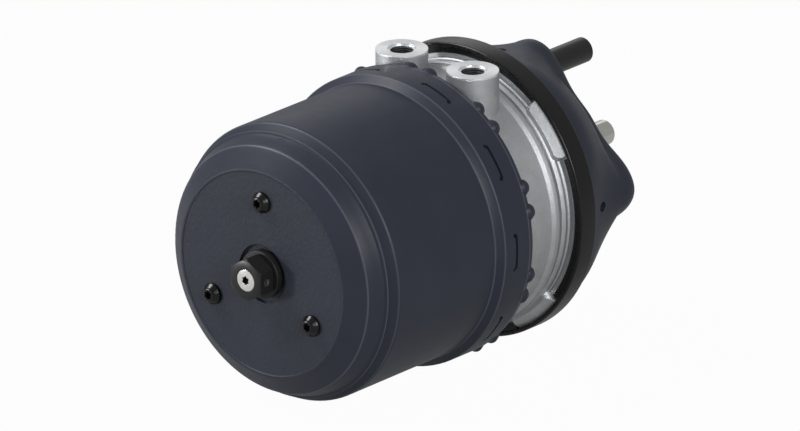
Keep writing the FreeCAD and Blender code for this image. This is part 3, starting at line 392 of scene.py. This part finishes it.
def cast_alloy():
    """Raw die cast skin that is milled on top of the ports, with painted shade in their bores."""
    finish = Finish("cast_alloy", CAST_LIGHT, 0.45, metallic=0.8)
    across, along, up = finish.axis_parts()
    side, off = across.unsigned() - PORT_OFFSET, along + PORT_DEPTH
    reach = (side * side + off * off) ** 0.5
    milled = up > PORT_TOP - 1.2 * MM
    in_height = (up < PORT_TOP - 1.4 * MM) * (up > PORT_FLOOR - 1 * MM)
    in_bore = (reach < PORT_BORE + 0.2 * MM) * in_height
    grain = finish.noise(0.8 * MM, detail=4.0, roughness=0.75)
    patches = finish.noise(9 * MM, detail=3.0)
    skin = finish.mix(grain * 0.7 + patches * 0.3, CAST_DARK, CAST_LIGHT)
    worked = finish.mix(milled, skin, MILLED)
    # the bores and their threads are painted dark as shade
    finish.set("Base Color", finish.mix(in_bore, worked, BORE_PAINTED_SHADE))
    finish.set("Roughness", (grain * 0.2 + 0.36) * (1 - milled * 0.3))
    height = grain * (1 - milled) + reach.wave(CUTTER_PITCH) * milled * 0.08
    finish.relief(height, 0.22 * MM, strength=0.9, edge=0.4 * MM)


cast_alloy()
print("cast alloy with its port faces at", round(PORT_TOP / MM, 1), "mm")

# %% [markdown]
# ### Bright steel
#
# The push rod and the core of the release bolt are zinc plated: a warm silver with rings from the
# lathe and long soft reflections. The bolt ends in a star socket whose walls see little light, so
# inside the star's radius and behind its mouth the steel turns dark. One function makes each bright
# steel from its colour and gloss, with the rings or the socket only where they are asked for.

# %% Bright steels
SOCKET_DARK = (0.05, 0.05, 0.05)
BOLT_DEPTH = 273 * MM
STAR_RADIUS = 4.4 * MM


def bright_steel(name, colour, roughness, lathe_pitch=None, socket=None):
    """Plated or turned steel, with rings from the lathe or a dark socket if asked for."""
    finish = Finish(name, colour, roughness, metallic=1.0)
    cloud = finish.noise(3 * MM, detail=3.0)
    skin = finish.mix(cloud, tinted(colour, 0.86), colour)
    height = finish.noise(0.4 * MM)
    if socket:
        mouth, radius = socket
        across, along, up = finish.axis_parts()
        inside = (along > 0.5 * MM - mouth) * (across * across + up * up < radius * radius)
        skin = finish.mix(inside, skin, SOCKET_DARK)
    if lathe_pitch:
        height = finish.axis_parts()[1].wave(lathe_pitch) * 0.3 + height * 0.4
    finish.set("Base Color", skin)
    finish.set("Roughness", cloud * 0.14 + (roughness - 0.07))
    finish.relief(height, 0.03 * MM, strength=0.5, edge=0.3 * MM)


bright_steel("zinc_rod", (0.74, 0.74, 0.69), 0.22, lathe_pitch=0.5 * MM)
bright_steel("bolt_steel", (0.9, 0.89, 0.86), 0.22, socket=(BOLT_DEPTH, STAR_RADIUS))
bright_steel("zinc_plate", (0.6, 0.6, 0.57), 0.35)
bright_steel("turned_steel", (0.5, 0.51, 0.52), 0.35, lathe_pitch=0.4 * MM)
bright_steel("tube_steel", (0.68, 0.69, 0.7), 0.16)
bright_steel("pin_grey", (0.8, 0.8, 0.8), 0.3)
bright_steel("piston_alloy", (0.7, 0.71, 0.72), 0.4, lathe_pitch=0.6 * MM)
print("finishes so far:", len(Finish.made))

# %% [markdown]
# ### Rubber and plastic
#
# Inside are rubber lips, a diaphragm with cloth in it and bearing plastic. They show only from the
# front or when the unit is taken apart, but each still gets the skin of its own stuff. The cloth's
# weave is regular, so two sines across each other are enough for it.

# %% Rubber and plastic
WEAVE_PITCH = 1.1 * MM


def moulded(name, colour, roughness, grain, depth, sheen=0.0):
    """Rubber or plastic from a mould, with the mould's fine grain."""
    finish = Finish(name, colour, roughness)
    skin = finish.noise(grain, detail=3.0, roughness=0.6)
    finish.set("Base Color", finish.mix(skin, tinted(colour, 0.8), tinted(colour, 1.2)))
    finish.set("Roughness", skin * 0.15 + (roughness - 0.07))
    finish.set("Sheen Weight", sheen)
    finish.relief(skin, depth, strength=0.6)


def diaphragm_cloth():
    """Rubber over a woven backing, whose threads show through as a fine grid."""
    finish = Finish("diaphragm_rubber", (0.02, 0.02, 0.021), 0.6)
    across, along, up = finish.axis_parts()
    weave = across.wave(WEAVE_PITCH) * up.wave(WEAVE_PITCH)
    finish.set("Roughness", weave * 0.06 + 0.6)
    finish.relief(weave * 0.5 + 0.5, 0.08 * MM, strength=0.6)


moulded("seal_rubber", (0.017, 0.017, 0.018), 0.6, 0.7 * MM, 0.03 * MM, sheen=0.1)
moulded("guide_plastic", (0.5, 0.44, 0.3), 0.45, 0.9 * MM, 0.02 * MM)
moulded("valve_plastic", (0.02, 0.02, 0.022), 0.4, 0.8 * MM, 0.02 * MM)
diaphragm_cloth()
print("finishes so far:", len(Finish.made))

# %% [markdown]
# ### Each solid in its finish
#
# The record of the CAD model says which slot each solid takes its finish from, and every finish
# above has the name of its slot. So nothing has to be listed twice: one loop looks the name up.

# %% Give every solid its finish
NODE_SLOT = {row["node"]: row["material_slot"] for row in frame["record"]["subparts"]}


def dress(piece, material):
    """Puts one finish on a piece, in place of whatever it came with."""
    piece.data.materials.clear()
    piece.data.materials.append(material)


for node, solid in NODES.items():
    dress(solid, Finish.made[NODE_SLOT[node]])
print("dressed", len(NODES), "solids in", len(set(NODE_SLOT.values())), "finishes")

# %% [markdown]
# ## Port threads
#
# Each air port has a fine thread from its mouth down. On the real casting it is cut into the bore.
# Cutting it here would change the solid, so the ridges between the cuts are added instead. A ridge
# turns and sinks at once, and that is just what the spin operator does when it is given a step
# along the axis. So one small section with a narrow crest is spun into a helix.

# %% A threaded bore
THREAD_PITCH = 1.5 * MM
THREAD_TURNS = 10
STEPS_PER_TURN = 40
THREAD_START = 1.6 * MM
RIDGE_HEIGHT, RIDGE_SUNK = 0.55 * MM, 0.02 * MM
RIDGE_HALF, CREST_HALF = THREAD_PITCH * 0.42, 0.08 * MM


def add_object(name, data):
    """Puts new data into the scene as an object."""
    made = bpy.data.objects.new(name, data)
    bpy.context.scene.collection.objects.link(made)
    return made


def mesh_object(name, mesh, material):
    """Turns a finished bmesh into an object at the origin, in one finish."""
    data = bpy.data.meshes.new(name)
    mesh.to_mesh(data)
    mesh.free()
    made = add_object(name, data)
    dress(made, material)
    return made


def new_piece(name, mesh, slot, body):
    """Turns a finished bmesh into a piece that rides on a body, or on none if none is given."""
    piece = mesh_object(name, mesh, Finish.made[slot])
    shade_smooth(piece.data)
    if body:
        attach(piece, body)
    print(name, "has", len(piece.data.polygons), "faces")
    return piece


def port_thread(name, across):
    """A helical ridge on the wall of one port's bore."""
    mesh = bmesh.new()
    top = PORT_TOP - THREAD_START
    wall, crest = PORT_BORE + RIDGE_SUNK, PORT_BORE - RIDGE_HEIGHT
    section = [
        (wall, RIDGE_HALF), (crest, CREST_HALF), (crest, -CREST_HALF), (wall, -RIDGE_HALF),
    ]
    corners = [mesh.verts.new((across + out, -PORT_DEPTH, top + up)) for out, up in section]
    ridge = mesh.faces.new(corners)
    bmesh.ops.spin(
        mesh, geom=[ridge, *ridge.edges, *corners], cent=(across, -PORT_DEPTH, 0),
        axis=(0, 0, 1), dvec=(0, 0, -THREAD_PITCH / STEPS_PER_TURN),
        angle=2 * math.pi * THREAD_TURNS, steps=THREAD_TURNS * STEPS_PER_TURN,
    )
    bmesh.ops.recalc_face_normals(mesh, faces=mesh.faces)
    new_piece(name, mesh, "cast_alloy", "housing")


for name, side in (("park_port_thread", -1), ("service_port_thread", 1)):
    port_thread(name, side * PORT_OFFSET)

# %% [markdown]
# ## Boot and diaphragm
#
# Two soft pieces of the CAD model are only closed outlines, and both get their real form here.
# Rubber is moulded in round folds. Pulled into shape by hand they would hardly come out even all
# the way round, so each is a section with its corners rounded by a vertex bevel, spun about the
# rod's axis. The section is a list of depths and radii in millimetres, front first.

# %% A turned rubber piece
RING_STEPS = 96


def turned_rubber(name, outline, rounding, slot, replaced, body=None):
    """Spins a closed outline of depths and radii about the rod's axis."""
    mesh = bmesh.new()
    corners = [mesh.verts.new((0, -depth * MM, radius * MM)) for depth, radius in outline]
    mesh.faces.new(corners)
    bmesh.ops.bevel(
        mesh, geom=[corner for corner in corners if corner.co.z > 0], offset=rounding,
        offset_type="OFFSET", segments=4, profile=0.5, affect="VERTICES", material=-1,
        clamp_overlap=True,
    )
    bmesh.ops.delete(mesh, geom=list(mesh.faces), context="FACES_ONLY")
    bmesh.ops.spin(
        mesh, geom=[*mesh.verts, *mesh.edges], cent=(0, 0, 0), axis=AXIS,
        angle=2 * math.pi, steps=RING_STEPS, use_merge=True,
    )
    bmesh.ops.remove_doubles(mesh, verts=mesh.verts, dist=0.005 * MM)
    bmesh.ops.recalc_face_normals(mesh, faces=mesh.faces)
    piece = new_piece(name, mesh, slot, body)
    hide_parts(replaced)
    return piece


# %% [markdown]
# The boot keeps dirt out of the shell. Its rim sits in the pressed retainer, one deep fold hangs in
# the hole, and a sleeve with two wiper lips hugs the rod. It fills the hole's front, so it shows
# from the caliper's side. When the rod goes out, the plate behind it pushes the folds together, but
# here the boot rides on the housing and keeps its shape.

# %% Rod boot
BOOT_RIM, BOOT_SLEEVE = 18.7, 8.05
BOOT_FOLD = (BOOT_RIM + BOOT_SLEEVE) / 2
BOOT_SKIN = 1.6
BOOT_FRONT, BOOT_BACK = 2.0, 18.0
BOOT_END = BOOT_BACK + BOOT_SKIN
boot_outline = [
    (BOOT_FRONT, BOOT_RIM), (BOOT_FRONT, BOOT_RIM - BOOT_SKIN * 1.4),
    (BOOT_FRONT + 1.4, BOOT_RIM - BOOT_SKIN * 1.4), (BOOT_FRONT + 2.2, BOOT_RIM - BOOT_SKIN),
    (BOOT_BACK - BOOT_SKIN, BOOT_RIM - BOOT_SKIN * 1.5), (BOOT_FRONT + 2.4, BOOT_FOLD + 0.7),
    (BOOT_FRONT + 2.4, BOOT_FOLD - 0.9), (BOOT_BACK - BOOT_SKIN * 1.8, BOOT_SLEEVE + 2.2),
    (BOOT_BACK - BOOT_SKIN * 2.2, BOOT_SLEEVE + 1.1),
    (BOOT_BACK - BOOT_SKIN * 1.6, BOOT_SLEEVE), (BOOT_BACK - 0.9, BOOT_SLEEVE),
    (BOOT_BACK - 0.5, BOOT_SLEEVE + 0.5), (BOOT_BACK - 0.1, BOOT_SLEEVE),
    (BOOT_END, BOOT_SLEEVE), (BOOT_END, BOOT_SLEEVE + BOOT_SKIN),
    (BOOT_FRONT + BOOT_SKIN * 3.2, BOOT_FOLD - 0.4),
    (BOOT_FRONT + BOOT_SKIN * 3.2, BOOT_FOLD + 0.4), (BOOT_END, BOOT_RIM - BOOT_SKIN),
    (BOOT_FRONT + BOOT_SKIN * 3, BOOT_RIM),
]
boot = turned_rubber(
    "bellows_boot", boot_outline, 0.5 * MM, "seal_rubber", "rod_boot", "housing"
)
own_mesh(boot)

# %% [markdown]
# The diaphragm is a rubber disc over cloth. It lies flat on the push plate, rolls back in a fold
# and ends in a thick bead between the two flanges. Three low ribs on its pressure side let the air
# get behind it. In the unit its middle goes back with the parking piston while the bead stays
# clamped, and the fold takes up the way. Here it rides on no body and keeps its shape.

# %% Diaphragm
DISC_FRONT, DISC_BACK = 35.5, 38.5
PLATE_EDGE = 46.0
CLAMP_FRONT, CLAMP_BACK, CLAMP_EDGE = 63.0, 65.5, 90.0
FOLD_REACH = 79.1
RIB_RADII = (38.0, 31.0, 25.5)
RIB_HALF, RIB_HEIGHT = 1.2, 0.9
diaphragm_outline = [
    (DISC_FRONT, 0.0), (DISC_FRONT, PLATE_EDGE + 3), (CLAMP_FRONT - 3, FOLD_REACH),
    (CLAMP_FRONT - 0.2, FOLD_REACH + 5), (CLAMP_FRONT, CLAMP_EDGE - 4.2),
    (CLAMP_FRONT, CLAMP_EDGE), (CLAMP_BACK, CLAMP_EDGE), (CLAMP_BACK, FOLD_REACH + 2),
    (CLAMP_FRONT, FOLD_REACH - 1.5), (DISC_BACK, PLATE_EDGE),
]
for rib in RIB_RADII:
    diaphragm_outline += [
        (DISC_BACK, rib + RIB_HALF), (DISC_BACK + RIB_HEIGHT, rib + RIB_HALF / 2),
        (DISC_BACK + RIB_HEIGHT, rib - RIB_HALF / 2), (DISC_BACK, rib - RIB_HALF),
    ]
diaphragm_outline.append((DISC_BACK, 0.0))
membrane = turned_rubber(
    "ribbed_diaphragm", diaphragm_outline, 0.6 * MM, "diaphragm_rubber", "diaphragm"
)
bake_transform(membrane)

# %% [markdown]
# ## Coil springs
#
# Both coil springs are right as solids. Each gets a copy with its corners joined, which stands for
# the solid and rides on the housing.


def pressed_spring(name, node):
    """Stands for a coil spring's solid with its corners joined, riding on the housing."""
    mesh = bmesh.new()
    mesh.from_mesh(NODES[node].data)
    bmesh.ops.remove_doubles(mesh, verts=mesh.verts, dist=SAME_POINT)
    coil = new_piece(name, mesh, NODE_SLOT[node], "housing")
    smooth_solid(coil)
    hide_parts(node)
    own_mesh(coil)


pressed_spring("power_coil", "power_spring")
pressed_spring("return_coil", "return_spring")

# %% [markdown]
# ## Floor
#
# The unit lies on a white table. Light strong enough to turn a table white would burn out the cast
# alloy too. So the table is only told to be white where the camera sees it, and less strongly where
# a bright face mirrors it. It keeps a few hundredths of its lit self, and in those the unit's soft
# shadow stays.

# %% Floor
FLOOR_LEVEL = cad_low.z - 0.4 * MM
FLOOR_SIZE = 12.0
TABLE_COLOUR = (0.3, 0.3, 0.3)
TABLE_WHITE = 0.97
MIRRORED = 0.3
WHITE = {"Color": (1, 1, 1, 1), "Strength": 1.0}


def floor_finish():
    """White to the camera, with the unit's soft shadow left on it."""
    finish = Finish("table_white", TABLE_COLOUR, 0.8)
    camera, glossy, through = finish.rays()
    white = (camera + through + glossy * MIRRORED) * TABLE_WHITE
    lit = Wire(finish, finish.shader.outputs[0])
    glow = finish.node("ShaderNodeEmission", {}, WHITE)
    both = finish.node("ShaderNodeMixShader", {}, {0: white, 1: lit, 2: glow})
    finish.feed(finish.nodes["Material Output"].inputs["Surface"], both)
    return finish.material


def lay_floor():
    """A wide square just below the unit."""
    mesh = bmesh.new()
    bmesh.ops.create_grid(mesh, x_segments=1, y_segments=1, size=FLOOR_SIZE)
    bmesh.ops.translate(mesh, verts=mesh.verts, vec=(0, 0, FLOOR_LEVEL))
    table = mesh_object("table", mesh, floor_finish())


lay_floor()
print("table at", round(FLOOR_LEVEL / MM, 1), "mm")

# %% [markdown]
# ## World
#
# Past the table's edge the camera and the bright faces see the world, so it is white to them in the
# same way. To everything else it is a weak, slightly cool fill, which keeps the shaded side from
# going black.

# %% World
FILL_COLOUR = (0.93, 0.96, 1, 1)
FILL_STRENGTH = 0.1


def room_light(colour, strength):
    """White where the camera looks past the table, and a plain soft fill elsewhere."""
    world = bpy.data.worlds.new("room")
    bpy.context.scene.world = world
    room = Tree(world)
    camera, glossy, through = room.rays()
    seen = camera.at_least(glossy * MIRRORED).at_least(through)
    fill = room.node("ShaderNodeBackground", {}, {"Color": colour, "Strength": strength})
    white = room.node("ShaderNodeBackground", {}, WHITE)
    both = room.node("ShaderNodeMixShader", {}, {0: seen, 1: fill, 2: white})
    room.feed(room.nodes["World Output"].inputs["Surface"], both)


room_light(FILL_COLOUR, FILL_STRENGTH)
print("soft fill at a strength of", FILL_STRENGTH)

# %% [markdown]
# ## Lamps
#
# Dark paint is lit with large soft boxes, because small lamps draw hard lines on it. One box stands
# high on the left, and a larger one on the right, for the drum's long side and the cast body. Low
# on the left is a small one, because there a hard line is wanted: it throws the hexagon's shadow to
# the right, and its slant brings out the runs in the paint. A weak box on the caliper's side
# brightens the port faces and the shell there.

# %% Lamps
UNIT_MIDDLE = Vector((0, -0.12, 0))


def direction(azimuth, elevation):
    """The unit vector to a viewer. Azimuth 0 is behind the closed end, and 90 is on the right."""
    turn, rise = math.radians(azimuth), math.radians(elevation)
    flat = math.cos(rise)
    return Vector((math.sin(turn) * flat, -math.cos(turn) * flat, math.sin(rise)))


def facing(away):
    """The turn of a lamp or camera that looks back along away, with its top up."""
    return (-away).to_track_quat("-Z", "Y")


def lamp(name, azimuth, elevation, distance, size, power):
    """A square soft box that looks at the unit."""
    data = bpy.data.lights.new(name, "AREA")
    data.shape = "SQUARE"
    data.size = size
    data.energy = power
    away = direction(azimuth, elevation)
    box = add_object(name, data)
    box.location = UNIT_MIDDLE + away * distance
    box.rotation_euler = facing(away).to_euler()
    print(name, "has", power, "watts")


lamp("top_box", azimuth=-62, elevation=48, distance=1.6, size=0.6, power=18)
lamp("key_box", azimuth=-40, elevation=1, distance=1.5, size=0.2, power=8)
lamp("right_box", azimuth=66, elevation=26, distance=2.0, size=0.9, power=25)
lamp("back_box", azimuth=221, elevation=22, distance=2.2, size=1.0, power=1.8)

# %% [markdown]
# ## Camera
#
# The photograph has almost no perspective: the drum's far rim is hardly smaller than its near end.
# So the camera stands far off with a very long lens. Its angles and its place come from a fit, in
# which the circles of the rims, the screws and the port faces had to fall where the photograph
# has them.

# %% Camera
VIEW_AZIMUTH, VIEW_ELEVATION = 41.24, 21.27
VIEW_DISTANCE = 7.568
VIEW_TARGET = Vector((0, -0.1324, 0))
VIEW_RAISE = 0.75 * MM
SENSOR_WIDTH, LENS = 36, 560.6
NEAREST, FARTHEST = 0.1, 100


def set_camera():
    """Puts the camera at the photograph's viewing angle."""
    data = bpy.data.cameras.new("camera")
    data.sensor_width, data.lens = SENSOR_WIDTH, LENS
    data.clip_start, data.clip_end = NEAREST, FARTHEST
    away = direction(VIEW_AZIMUTH, VIEW_ELEVATION)
    turn = facing(away)
    upward = turn @ Vector((0, 1, 0))
    camera = add_object("camera", data)
    camera.location = VIEW_TARGET + upward * VIEW_RAISE + away * VIEW_DISTANCE
    camera.rotation_euler = turn.to_euler()
    bpy.context.scene.camera = camera


set_camera()
bpy.context.scene.view_settings.view_transform = "Standard"
print("camera with a lens of", LENS, "mm")
